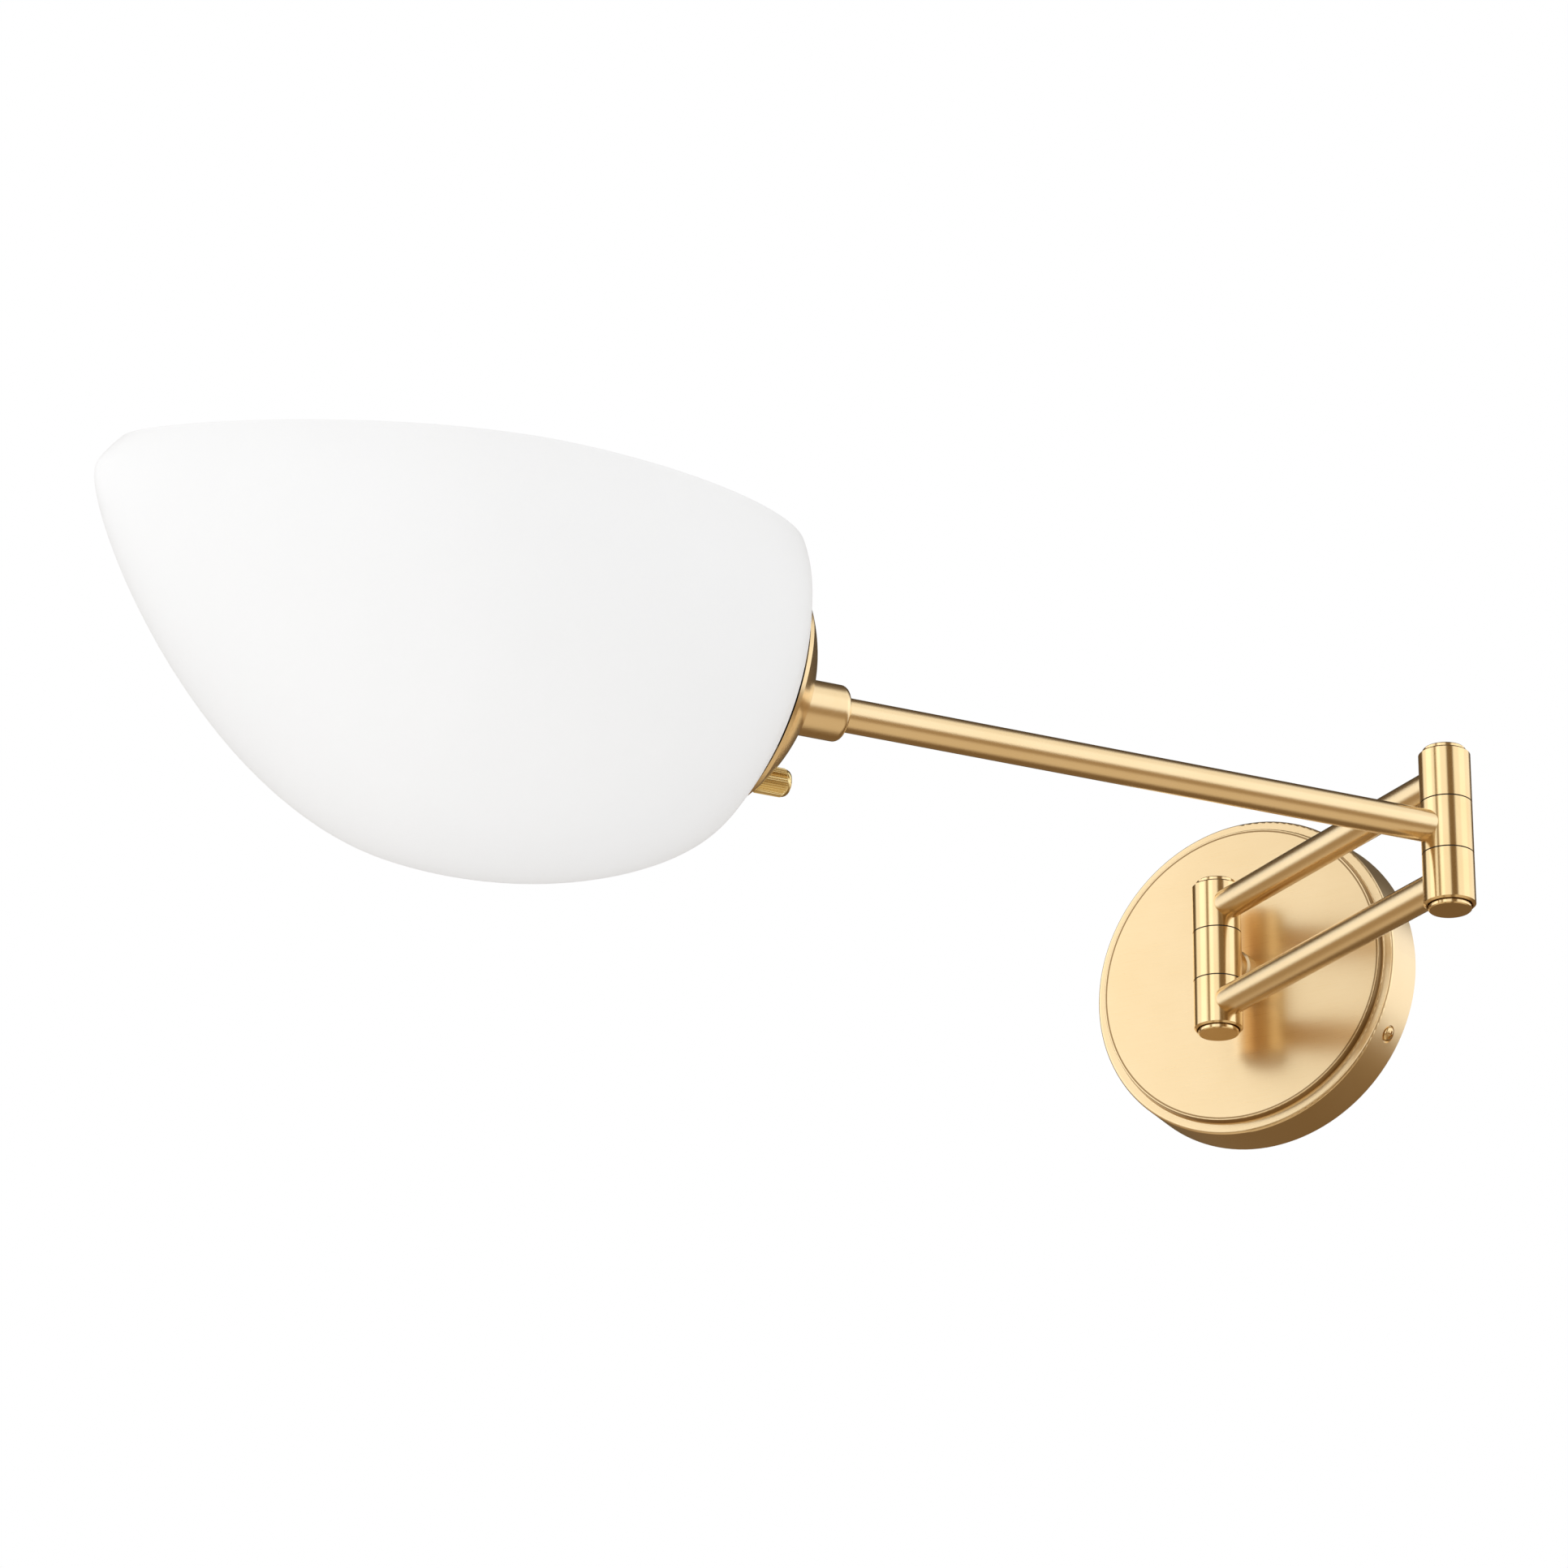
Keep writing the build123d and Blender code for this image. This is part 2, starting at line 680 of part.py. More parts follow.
# Shade: the hollow egg, its top sliced off parallel to the arm, with holes for the collar and the switch
mouth_plane = Plane(origin=pole + shade_up * mouth_height, x_dir=outer_direction, z_dir=shade_up)
with BuildPart() as shade:
    add(egg_face(0))
    revolve(axis=egg_line)
    add(egg_face(shade_wall))
    revolve(axis=egg_line, mode=Mode.SUBTRACT)
    split(bisect_by=mouth_plane, keep=Keep.BOTTOM)
    with BuildSketch(egg_square_plane(0)):
        Circle(spigot_radius + loose_gap)
    extrude(amount=spigot_reach, both=True, mode=Mode.SUBTRACT)
    with BuildSketch(arm_plane(bushing_end)):
        with Locations(knob_place):
            Circle(bushing_hole_radius)
    extrude(amount=switch_face - bushing_end, mode=Mode.SUBTRACT)
keep(shade, "shade")


def ring_window(inner_radius, outer_radius):
    """Keep of a sketch in the egg's plane only what lies near the pole, between two radii."""
    with Locations((0, (inner_radius + outer_radius) / 2)):
        Rectangle(cap_dome_radius, outer_radius - inner_radius, mode=Mode.INTERSECT)


# Cap: a thin spun dome behind the shade, with a flat pad for the switch's nut
with BuildPart() as shade_cap:
    with BuildSketch(egg_plane):
        with Locations((dome_depth, 0)):
            Circle(cap_dome_radius)
            Circle(cap_dome_radius - cap_wall, mode=Mode.SUBTRACT)
        ring_window(spigot_radius + seat_gap, cap_radius)
    revolve(axis=egg_line)
    with BuildSketch(arm_plane(pad_face)):
        with Locations(knob_place):
            Circle(pad_radius)
    extrude(amount=switch_face - pad_face)
    with Locations(Location(dome_centre)):
        Sphere(cap_dome_radius - cap_wall, mode=Mode.SUBTRACT)
    with BuildSketch(arm_plane(bushing_end)):
        with Locations(knob_place):
            Circle(bushing_hole_radius)
    extrude(amount=switch_face - bushing_end, mode=Mode.SUBTRACT)
keep(shade_cap, "shade_cap")

# Spacer between the dome and the shade, hollow to suit one and domed to suit the other
with BuildPart() as cap_spacer:
    with BuildSketch(egg_plane):
        with Locations((dome_depth, 0)):
            Circle(cap_dome_radius - cap_wall - seat_gap)
        with Locations((shade_back_radius, 0)):
            Circle(shade_back_radius + seat_gap, mode=Mode.SUBTRACT)
        ring_window(spigot_radius + seat_gap, spacer_radius)
    revolve(axis=egg_line)
keep(cap_spacer, "cap_spacer")

# Collar: turns on the outer tube, seats on the cap, and its leaned spigot carries the cap and shade
spigot_start = dome_stand + spigot_root
with BuildPart() as swivel_collar:
    with BuildSketch(arm_plane(shade_distance - collar_length)):
        Circle(collar_radius)
    extrude(amount=collar_length)
    free_end = swivel_collar.faces().sort_by(Axis(elbow_column, outer_direction))[0]
    fillet(free_end.edges(), collar_end_round)
    with Locations(Location(dome_centre)):
        Sphere(cap_dome_radius + seat_gap, mode=Mode.SUBTRACT)
    with BuildSketch(egg_square_plane(-spigot_start)):
        Circle(spigot_radius)
    extrude(amount=spigot_start + spigot_reach + collar_radius)
    with BuildSketch(arm_plane(shade_distance + spigot_reach)):
        Circle(collar_radius * 2)
    extrude(amount=collar_radius * 2, mode=Mode.SUBTRACT)
    with BuildSketch(arm_plane(0)):
        Circle(tube_radius + running_gap)
    extrude(amount=shade_distance + spigot_reach, mode=Mode.SUBTRACT)
keep(swivel_collar, "swivel_collar")

# Clamp washer and ring nut inside the shade
washer_seat = shade_inside(clamp_washer_radius) + seat_gap
with BuildPart() as shade_clamp_washer:
    with BuildSketch(egg_square_plane(washer_seat)):
        Circle(clamp_washer_radius)
        Circle(spigot_radius + seat_gap, mode=Mode.SUBTRACT)
    extrude(amount=clamp_washer_thickness)
keep(shade_clamp_washer, "shade_clamp_washer")

with BuildPart() as shade_ring_nut:
    with BuildSketch(egg_square_plane(washer_seat + clamp_washer_thickness)):
        Circle(ring_nut_radius)
        Circle(spigot_radius + seat_gap, mode=Mode.SUBTRACT)
    extrude(amount=ring_nut_height)
keep(shade_ring_nut, "shade_ring_nut")

# Rotary switch inside the shade: its bushing comes out through the shade and the cap
with BuildPart() as switch_body:
    with BuildSketch(arm_plane(switch_face)):
        with Locations(knob_place):
            Circle(switch_radius)
    extrude(amount=switch_depth)
    with BuildSketch(arm_plane(bushing_end)):
        with Locations(knob_place):
            Circle(bushing_radius)
    extrude(amount=switch_face - bushing_end)
    with BuildSketch(arm_plane(bushing_end)):
        with Locations(knob_place):
            Circle(knob_shaft_radius + running_gap)
    extrude(amount=knob_shaft_length, mode=Mode.SUBTRACT)
keep(switch_body, "switch_body")

with BuildPart() as switch_nut:
    with BuildSketch(arm_plane(pad_face)):
        with Locations(knob_place):
            Circle(switch_nut_radius)
            Circle(bushing_radius, mode=Mode.SUBTRACT)
    extrude(amount=-switch_nut_height)
keep(switch_nut, "switch_nut")

# Knob: a rounded cylinder hollowed over the nut, on a shaft that turns in the bushing
knob_start = pad_face - loose_gap
with BuildPart() as switch_knob:
    with BuildSketch(arm_plane(knob_start)):
        with Locations(knob_place):
            Circle(knob_radius)
    extrude(amount=-knob_length)
    free_end = switch_knob.faces().sort_by(Axis(elbow_column, outer_direction))[0]
    fillet(free_end.edges(), knob_end_round)
    with BuildSketch(arm_plane(knob_start)):
        with Locations(knob_place):
            Circle(knob_recess_radius)
    extrude(amount=-knob_recess_depth, mode=Mode.SUBTRACT)
    with BuildSketch(arm_plane(knob_start - knob_recess_depth)):
        with Locations(knob_place):
            Circle(knob_shaft_radius)
    extrude(amount=knob_shaft_length)
keep(switch_knob, "switch_knob")

print(f"{len(nodes)} nodes")
print("knob axis through", arm_plane(knob_start).from_local_coords((*knob_place, 0)))
print("elbow at", elbow_column, "pole at", pole)
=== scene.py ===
# %% [markdown]
# # A swing arm wall sconce, dressed on its CAD frame
#
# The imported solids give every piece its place, in metres: X runs right along the wall, Y runs into the
# wall and Z is up. This lesson keeps those solids as the frame, sets the camera where the photograph
# was taken from, gives each finish its own node material, and replaces the pieces whose detail is too
# fine for solids, such as the knurled knob and the cross-recess screws.

# %% Load the frame
import json
from math import cos, pi, radians, sin

import bmesh
import bpy
from mathutils import Matrix, Vector


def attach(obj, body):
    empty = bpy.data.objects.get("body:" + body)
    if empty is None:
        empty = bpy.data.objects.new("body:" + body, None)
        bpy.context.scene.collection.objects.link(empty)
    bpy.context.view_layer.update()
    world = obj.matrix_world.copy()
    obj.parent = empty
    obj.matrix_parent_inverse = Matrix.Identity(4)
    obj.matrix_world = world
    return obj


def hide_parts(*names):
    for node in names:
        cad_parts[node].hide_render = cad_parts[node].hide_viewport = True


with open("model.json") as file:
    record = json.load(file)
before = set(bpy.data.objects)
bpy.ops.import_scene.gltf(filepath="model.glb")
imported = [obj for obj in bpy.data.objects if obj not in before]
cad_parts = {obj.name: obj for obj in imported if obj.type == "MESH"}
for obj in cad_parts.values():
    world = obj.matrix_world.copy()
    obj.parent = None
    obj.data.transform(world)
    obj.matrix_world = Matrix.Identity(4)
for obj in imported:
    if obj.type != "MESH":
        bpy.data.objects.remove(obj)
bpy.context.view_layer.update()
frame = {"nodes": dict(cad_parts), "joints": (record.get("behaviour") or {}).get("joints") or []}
nodes = frame["nodes"]
joints = {joint["name"]: joint for joint in frame["joints"]}
print("CAD nodes:", len(nodes))

# %% [markdown]
# ## Directions that the pieces share
#
# A designer would read the axes of the columns, of the arm and of the knob from the joints, because a
# joint's line is exactly where its pieces turn. Nothing has to be measured again, and a moved joint
# moves its looks.

# %% Axes from the joints
wall_column = Vector(joints["wall_pivot"]["pos_m"])
elbow_column = Vector(joints["elbow_pivot"]["pos_m"])
inner_lay = (elbow_column - wall_column).normalized()
arm_lay = Vector(joints["shade_swivel"]["axis"]).normalized()
knob_point = Vector(joints["switch_turn"]["pos_m"])
inner_turn = inner_lay.to_2d().angle_signed(Vector((1, 0)))
arm_turn = arm_lay.to_2d().angle_signed(Vector((1, 0)))
print("inner arm turned", round(inner_turn, 4), "outer arm turned", round(arm_turn, 4))

# %% [markdown]
# ## Camera
#
# The photograph was taken from below and from the right, with a long lens, so the canopy's face shows
# as an ellipse and the tubes run almost without perspective. The camera's place and turn were solved
# from the outlines of the canopy, columns and tubes, so they are written as plain numbers. The picture
# is square, and the lens follows from its focal length in pixels of the 1932 pixel frame.

# %% Camera
FRAME_PIXELS = 1932
FOCAL_PIXELS = 5745.172
CAMERA_PLACE = Vector((0.70329, -1.42439, -0.60482))
CAMERA_YAW = radians(-32.622)
CAMERA_PITCH = radians(23.367)
CAMERA_ROLL = radians(1.238)
SENSOR_WIDTH = 36.0
NEAR_CLIP = 0.01

ahead = cos(CAMERA_PITCH)
look = Vector((sin(CAMERA_YAW) * ahead, cos(CAMERA_YAW) * ahead, sin(CAMERA_PITCH)))
level = Vector((cos(CAMERA_YAW), -sin(CAMERA_YAW), 0))
upright = level.cross(look)
across = level * cos(CAMERA_ROLL) + upright * sin(CAMERA_ROLL)
above = upright * cos(CAMERA_ROLL) - level * sin(CAMERA_ROLL)
turn = Matrix((across, above, -look)).transposed().to_4x4()

camera_data = bpy.data.cameras.new("photo_camera")
camera_data.sensor_width = SENSOR_WIDTH
camera_data.lens = FOCAL_PIXELS / FRAME_PIXELS * SENSOR_WIDTH
camera_data.clip_start = NEAR_CLIP
camera = bpy.data.objects.new("photo_camera", camera_data)
camera.matrix_world = Matrix.Translation(CAMERA_PLACE) @ turn
bpy.context.scene.collection.objects.link(camera)
bpy.context.scene.camera = camera
bpy.context.scene.view_settings.view_transform = "Standard"
print("lens", round(camera_data.lens, 2), "mm")

# %% [markdown]
# ## Node helpers
#
# Every material below is a small node tree, and so are the shared effects and the world. A few helpers
# keep those trees readable: they make a node and set its inputs, do arithmetic on numbers or vectors,
# mix colours, spread a value over a range and start a node group.


# %% Helpers for node trees
def add_node(tree, kind, **inputs):
    """Make a node and set its input values by socket name."""
    node = tree.nodes.new(kind)
    for socket, value in inputs.items():
        node.inputs[socket.replace("_", " ")].default_value = value
    return node


def feed(tree, socket, value):
    """Link a socket to an input, or set the input to a plain value."""
    if isinstance(value, bpy.types.NodeSocket):
        tree.links.new(value, socket)
    else:
        socket.default_value = value


def operate(tree, kind, operation, values):
    """Make a math node whose inputs, in order, are sockets or plain values."""
    node = tree.nodes.new(kind)
    node.operation = operation
    for number, value in enumerate(values):
        feed(tree, node.inputs[number], value)
    return node


def calculate(tree, operation, *values):
    """Arithmetic on numbers."""
    return operate(tree, "ShaderNodeMath", operation, values).outputs["Value"]


def move_vector(tree, operation, *values):
    """Arithmetic on vectors that gives a vector."""
    return operate(tree, "ShaderNodeVectorMath", operation, values).outputs["Vector"]


def measure_vector(tree, operation, *values):
    """Arithmetic on vectors that gives a number."""
    return operate(tree, "ShaderNodeVectorMath", operation, values).outputs["Value"]


def mix_colours(tree, factor, first, second):
    """Mix two colours, each a socket or a plain colour, by a varying factor."""
    mix = tree.nodes.new("ShaderNodeMix")
    mix.data_type = "RGBA"
    for name, colour in (("A", first), ("B", second)):
        feed(tree, mix.inputs[name], (*colour, 1) if isinstance(colour, tuple) else colour)
    tree.links.new(factor, mix.inputs["Factor"])
    return mix.outputs["Result"]


def spread(tree, value, low, high):
    """Map a value from 0..1 to low..high."""
    node = add_node(tree, "ShaderNodeMapRange", To_Min=low, To_Max=high)
    tree.links.new(value, node.inputs["Value"])
    return node.outputs["Result"]


def new_group(name, kind, inputs, outputs):
    """Start a node group from the types of its sockets: returns it with its two ends."""
    group = bpy.data.node_groups.new(name, kind)
    for way, sockets in (("INPUT", inputs), ("OUTPUT", outputs)):
        for socket, shape in sockets.items():
            group.interface.new_socket(socket, in_out=way, socket_type="NodeSocket" + shape)
    source = group.nodes.new("NodeGroupInput")
    result = group.nodes.new("NodeGroupOutput")
    return group, source.outputs, result.inputs


print("node helpers ready")

# %% [markdown]
# Three more helpers do what every finish needs: they start its material, give it a place to read, and
# turn a height into relief. A place is read in object coordinates, so a pattern moves with its piece.


# %% Helpers for materials
def new_material(name):
    """Start a material: returns it with its tree and its Principled shader."""
    material = bpy.data.materials.new(name)
    material.use_nodes = True
    tree = material.node_tree
    return material, tree, tree.nodes["Principled BSDF"]


def object_place(tree, turn=(0, 0, 0)):
    """Object coordinates, turned so that X runs along or across a piece's lines."""
    source = tree.nodes.new("ShaderNodeTexCoord")
    mapping = add_node(tree, "ShaderNodeMapping", Rotation=turn)
    tree.links.new(source.outputs["Object"], mapping.inputs["Vector"])
    return mapping.outputs["Vector"]


def add_bump(tree, shader, height, strength, distance):
    """Feed a height into the shader's normal."""
    bump = add_node(tree, "ShaderNodeBump", Strength=strength, Distance=distance)
    tree.links.new(height, bump.inputs["Height"])
    tree.links.new(bump.outputs["Normal"], shader.inputs["Normal"])


print("material helpers ready")

# %% [markdown]
# ## Shared effects
#
# Brushed metal shows fine lines that are long one way and thin the other. A noise that is squeezed
# across the lay and stretched along it gives those lines on any piece, so it is one node group with its
# own inputs. A second group gives the slow change of tone that lacquer and handling leave on a surface.


# %% Node groups for brushing and tone
def build_brush_lines():
    """Fine lines: Along and Across are the noise's scales along and across the lay."""
    group, source, result = new_group(
        "brush_lines", "ShaderNodeTree",
        inputs={"Vector": "Vector", "Along": "Float", "Across": "Float"}, outputs={"Lines": "Float"},
    )
    scales = group.nodes.new("ShaderNodeCombineXYZ")
    for axis, scale in (("X", "Along"), ("Y", "Across"), ("Z", "Across")):
        group.links.new(source[scale], scales.inputs[axis])
    squeezed = move_vector(group, "MULTIPLY", source["Vector"], scales.outputs["Vector"])
    noise = add_node(group, "ShaderNodeTexNoise", Scale=1.0, Detail=4.0, Roughness=0.65)
    group.links.new(squeezed, noise.inputs["Vector"])
    group.links.new(noise.outputs["Fac"], result["Lines"])
    return group


def build_slow_tone():
    """Soft patches of tone: Size is the patch size in metres."""
    group, source, result = new_group(
        "slow_tone", "ShaderNodeTree",
        inputs={"Vector": "Vector", "Size": "Float"}, outputs={"Tone": "Float"},
    )
    noise = add_node(group, "ShaderNodeTexNoise", Detail=3.0, Roughness=0.55)
    group.links.new(calculate(group, "DIVIDE", 1.0, source["Size"]), noise.inputs["Scale"])
    group.links.new(source["Vector"], noise.inputs["Vector"])
    group.links.new(noise.outputs["Fac"], result["Tone"])
    return group


brush_lines = build_brush_lines()
slow_tone = build_slow_tone()


def place_group(tree, group, vector, **inputs):
    """Put a shared effect in a material, with its own values, and return its result."""
    node = tree.nodes.new("ShaderNodeGroup")
    node.node_tree = group
    tree.links.new(vector, node.inputs["Vector"])
    for socket, value in inputs.items():
        node.inputs[socket].default_value = value
    return node.outputs[0]


print("shared effects:", [group.name for group in bpy.data.node_groups])

# %% [markdown]
# ## Brass
#
# The whole light is one brass, finished in different ways: the tubes are brushed lengthwise, the canopy
# is brushed flat and the collar is turned, so its lines run round. One function makes them all, and
# each call says which way the lines run, how fine they are and how glossy the metal is. The clear
# lacquer is a thin coat. The canopy also gets two thin dark lines of painted shade where its step
# begins and ends, as they read in the photograph.


# %% Brass finishes
BRASS_DEEP = (0.75, 0.548, 0.27)
BRASS_LIGHT = (0.88, 0.705, 0.45)
# Colour of the painted shade lines at the canopy's step
STEP_PAINTED_SHADE = (0.30, 0.19, 0.08)
KNOB_DEEP = (0.80, 0.63, 0.29)
KNOB_LIGHT = (0.93, 0.79, 0.46)
STEP_EDGE = 0.0542
STEP_FOOT = 0.0552
SHADE_LINE_HALF_WIDTH = 0.0003
LACQUER_WEIGHT = 0.5
LACQUER_ROUGHNESS = 0.2
LINE_SHARE = 0.45
TONE_SPREAD = (0.12, 0.62)
TONE_PATCH = 0.035
BRUSH_RELIEF = 0.00008


def painted_shade_rings(tree, radii, half_width):
    """Painted shade: a mask that is 1 within half a width of circles of the given radii about the
    canopy's axis.
    """
    source = tree.nodes.new("ShaderNodeTexCoord").outputs["Object"]
    reach = measure_vector(tree, "LENGTH", move_vector(tree, "MULTIPLY", source, (1, 0, 1)))
    rings = [calculate(tree, "COMPARE", reach, radius, half_width) for radius in radii]
    mask = rings[0]
    for ring in rings[1:]:
        mask = calculate(tree, "MAXIMUM", mask, ring)
    return mask


def brass(name, turn_z, along, across, rough, bump, rings=()):
    """A brass with brushed or turned lines; rough is its lowest and highest roughness."""
    material, tree, shader = new_material(name)
    place = object_place(tree, (0, 0, turn_z))
    lines = place_group(tree, brush_lines, place, Along=along, Across=across)
    tone = place_group(tree, slow_tone, place, Size=TONE_PATCH)
    blend = calculate(tree, "MULTIPLY_ADD", lines, LINE_SHARE, spread(tree, tone, *TONE_SPREAD))
    colour = mix_colours(tree, blend, BRASS_DEEP, BRASS_LIGHT)
    # Painted shade: thin dark lines mixed into the canopy's colour where its step begins and ends
    if rings:
        colour = mix_colours(tree, painted_shade_rings(tree, rings, SHADE_LINE_HALF_WIDTH), colour, STEP_PAINTED_SHADE)
    tree.links.new(colour, shader.inputs["Base Color"])
    tree.links.new(spread(tree, lines, *rough), shader.inputs["Roughness"])
    shader.inputs["Metallic"].default_value = 1.0
    shader.inputs["Coat Weight"].default_value = LACQUER_WEIGHT
    shader.inputs["Coat Roughness"].default_value = LACQUER_ROUGHNESS
    add_bump(tree, shader, lines, bump, BRUSH_RELIEF)
    return material


# The canopy's finish carries two rings of painted shade, at the edge and at the foot of its step
flat_brass = brass(
    "satin_brass_canopy", turn_z=0.0, along=60.0, across=12000.0, rough=(0.25, 0.32), bump=0.02,
    rings=(STEP_EDGE, STEP_FOOT),
)
inner_brass = brass(
    "satin_brass_inner_tubes", turn_z=inner_turn, along=35.0, across=3200.0, rough=(0.13, 0.27), bump=0.3)
outer_brass = brass(
    "satin_brass_outer_tube", turn_z=arm_turn, along=35.0, across=3200.0, rough=(0.13, 0.27), bump=0.3)
collar_brass = brass(
    "turned_brass_collar", turn_z=arm_turn, along=3200.0, across=40.0, rough=(0.15, 0.29), bump=0.22)
print("brass finishes:", [m.name for m in bpy.data.materials if "brass" in m.name])

# %% [markdown]
# The barrels and plugs of the two columns are turned and polished, so they show the room as sharp
# upright bands. Their lines run round a vertical axis, which is a change along Z only: the same brush
# group does it when the piece's Z is turned to the group's X.


# %% Polished brass for the columns
TURNED_ALONG = 9000.0
TURNED_ACROSS = 40.0
TURNED_PATCH = 0.02
TURNED_TONE = (0.0, 0.6)
TURNED_RELIEF = 0.00004


def turned_brass(name, deep, light, rough, bump):
    """Polished brass whose turning lines run round a vertical axis."""
    material, tree, shader = new_material(name)
    upended = object_place(tree, (0, pi / 2, 0))
    lines = place_group(tree, brush_lines, upended, Along=TURNED_ALONG, Across=TURNED_ACROSS)
    tone = place_group(tree, slow_tone, object_place(tree), Size=TURNED_PATCH)
    blend = spread(tree, tone, *TURNED_TONE)
    tree.links.new(mix_colours(tree, blend, deep, light), shader.inputs["Base Color"])
    tree.links.new(spread(tree, lines, *rough), shader.inputs["Roughness"])
    shader.inputs["Metallic"].default_value = 1.0
    add_bump(tree, shader, lines, bump, TURNED_RELIEF)
    return material


polished_brass = turned_brass(
    "polished_brass_columns", BRASS_DEEP, BRASS_LIGHT, rough=(0.11, 0.2), bump=0.06)
knob_brass = turned_brass(
    "polished_brass_knob", KNOB_DEEP, KNOB_LIGHT, rough=(0.16, 0.26), bump=0.05)
print("column finish:", polished_brass.name)

# %% [markdown]
# ## Enamel, steel, plastic, fibre and glass
#
# The shade has a matte white coat with the faint unevenness of sprayed powder. The hidden fittings are
# zinc plated steel, moulded black plastic and dark fibre, and the bulb is frosted. Each one gets a
# noise of its own scale for its colour, its roughness and its relief, because a plain colour would look
# like a blank.


# %% The other finishes
BROAD_TIMES_GRAIN = 25
GRAIN_SHARE = 0.5
BROAD_SHARE = 0.5
RELIEF_TIMES_GRAIN = 0.2


def speckled(name, first, second, size, rough, bump, metallic=0.0):
    """A finish whose colour, gloss and relief vary with a fine noise of one grain size."""
    material, tree, shader = new_material(name)
    place = object_place(tree)
    grain = place_group(tree, slow_tone, place, Size=size)
    broad = place_group(tree, slow_tone, place, Size=size * BROAD_TIMES_GRAIN)
    blend = calculate(tree, "MULTIPLY_ADD", grain, GRAIN_SHARE, spread(tree, broad, 0.0, BROAD_SHARE))
    tree.links.new(mix_colours(tree, blend, first, second), shader.inputs["Base Color"])
    tree.links.new(spread(tree, grain, *rough), shader.inputs["Roughness"])
    shader.inputs["Metallic"].default_value = metallic
    add_bump(tree, shader, grain, bump, size * RELIEF_TIMES_GRAIN)
    return material


white_enamel = speckled(
    "matte_white_enamel", (0.885, 0.885, 0.885), (0.915, 0.915, 0.915),
    size=0.0009, rough=(0.5, 0.62), bump=0.03,
)
zinc_steel = speckled(
    "zinc_steel", (0.50, 0.50, 0.49), (0.72, 0.72, 0.70),
    size=0.0016, rough=(0.25, 0.42), bump=0.05, metallic=1.0,
)
black_plastic = speckled(
    "black_moulded_plastic", (0.018, 0.017, 0.016), (0.04, 0.038, 0.036),
    size=0.0007, rough=(0.35, 0.5), bump=0.06,
)
dark_fibre = speckled(
    "dark_fibre", (0.02, 0.016, 0.012), (0.06, 0.048, 0.036),
    size=0.0006, rough=(0.7, 0.9), bump=0.1,
)
lead_sheath = speckled(
    "lead_sheath", (0.70, 0.69, 0.65), (0.78, 0.77, 0.73),
    size=0.001, rough=(0.45, 0.6), bump=0.04,
)
green_steel = speckled(
    "green_dyed_steel", (0.02, 0.16, 0.05), (0.05, 0.28, 0.10),
    size=0.0012, rough=(0.3, 0.45), bump=0.05, metallic=1.0,
)
frosted_glass = speckled(
    "frosted_bulb", (0.86, 0.85, 0.82), (0.92, 0.91, 0.89),
    size=0.0006, rough=(0.35, 0.5), bump=0.03,
)
cap_metal = speckled(
    "bulb_cap_metal", (0.60, 0.60, 0.58), (0.78, 0.78, 0.76),
    size=0.001, rough=(0.2, 0.35), bump=0.04, metallic=1.0,
)
shell_brass = speckled(
    "shell_brass", (0.55, 0.36, 0.14), (0.74, 0.52, 0.24),
    size=0.0012, rough=(0.25, 0.4), bump=0.04, metallic=1.0,
)
print("materials made:", len(bpy.data.materials))

# %% [markdown]
# ## Finishes onto the solids
#
# The solids whose shape is already right keep their mesh and only change their material slots. A table
# from the finish to the names of its pieces is easier to check than forty separate lines. The knob and
# the side screws aren't in it, because finer pieces stand for them below.

# %% Assign the finishes
COLUMNS = ("wall", "elbow")
barrels = [f"{column}_barrel_{part}" for column in COLUMNS for part in ("upper", "middle", "lower")]
plugs = [f"{column}_plug_{end}" for column in COLUMNS for end in ("top", "bottom")]
seam_washers = [f"{column}_washer_{part}" for column in COLUMNS for part in ("upper", "lower")]
finish_of = {
    flat_brass: ["canopy", "stem"],
    inner_brass: ["inner_tube_upper", "inner_tube_lower"],
    outer_brass: ["outer_tube"],
    collar_brass: ["swivel_collar", "shade_cap"],
    polished_brass: [*barrels, *plugs, "switch_nut"],
    white_enamel: ["shade"],
    dark_fibre: seam_washers,
    zinc_steel: [
        "mounting_plate", "stem_washer", "stem_nut", "wall_pivot_pin", "elbow_pivot_pin", "arm_nipple",
        "swivel_washer", "swivel_nut", "cap_spacer", "shade_clamp_washer", "shade_ring_nut",
    ],
    green_steel: ["ground_screw"],
    lead_sheath: ["inner_cable", "outer_cable"],
    black_plastic: ["lampholder_cup", "lampholder_body", "switch_body"],
    shell_brass: ["lampholder_shell", "lampholder_contact"],
    cap_metal: ["bulb_cap"],
    frosted_glass: ["bulb_globe"],
}
for finish, names in finish_of.items():
    for name in names:
        slots = nodes[name].data.materials
        slots.clear()
        slots.append(finish)
print("nodes with a finish:", sum(len(names) for names in finish_of.values()), "of", len(nodes))

# %% [markdown]
# ## A way to repeat
#
# The knob's ridges and the two side screws are the same shape turned about an axis. One Geometry Nodes
# group takes that shape, a count and an axis, and sets out the copies. The result is turned into a
# plain mesh, so the model carries no modifier.


